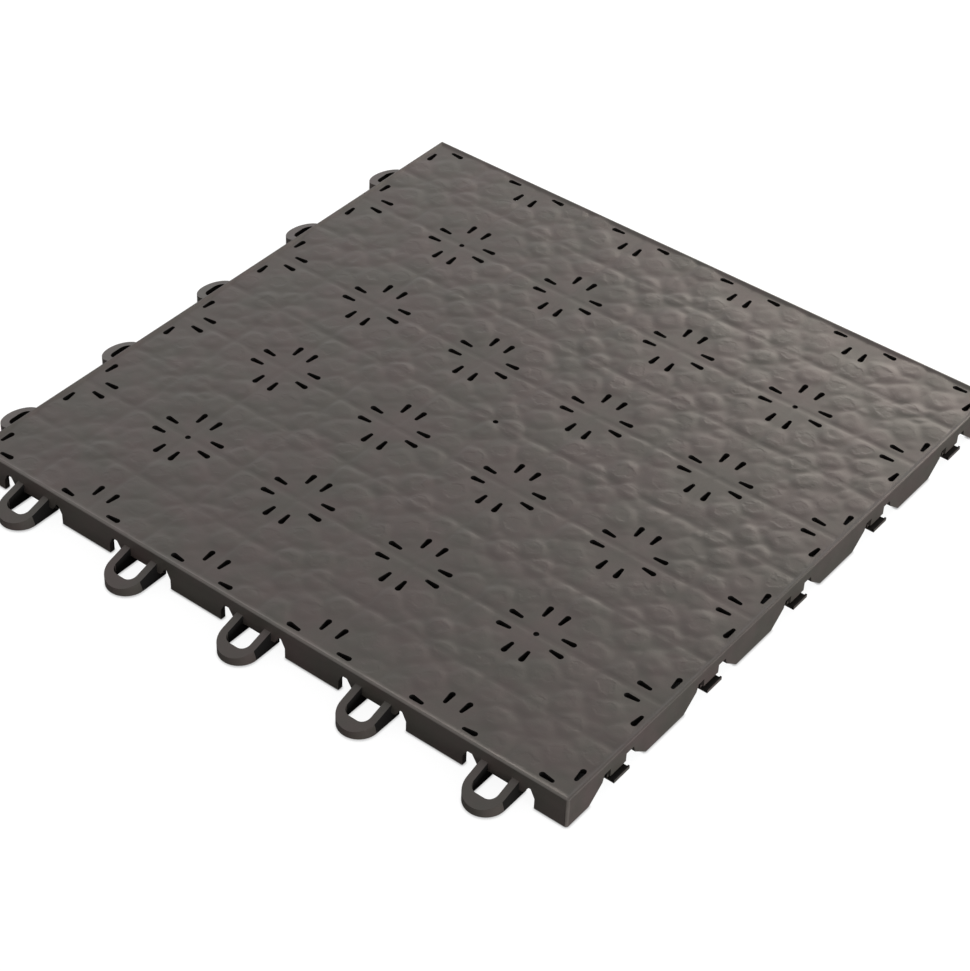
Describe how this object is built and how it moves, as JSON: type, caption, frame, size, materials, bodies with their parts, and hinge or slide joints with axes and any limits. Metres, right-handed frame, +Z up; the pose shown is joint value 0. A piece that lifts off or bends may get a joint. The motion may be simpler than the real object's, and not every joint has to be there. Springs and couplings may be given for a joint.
{
  "type": "sport court tile",
  "caption": "Square interlocking plastic floor tile with a slotted, pebbled deck on ribs and feet, loops along two sides and latches along the other two.",
  "frame": {"origin": "centre of the tile's underside, on the face of the middle foot, level with the floor", "axes": "+Z up through the deck; loops on the -X and -Y sides, latches on the +X and +Y sides"},
  "size_m": [0.2638, 0.2651, 0.012],
  "materials": {
    "tile_plastic": "near-black moulded polypropylene with a pebbled grain"
  },
  "bodies": {
    "root": {"court_tile": "tile_plastic"}
  },
  "joints": []
}
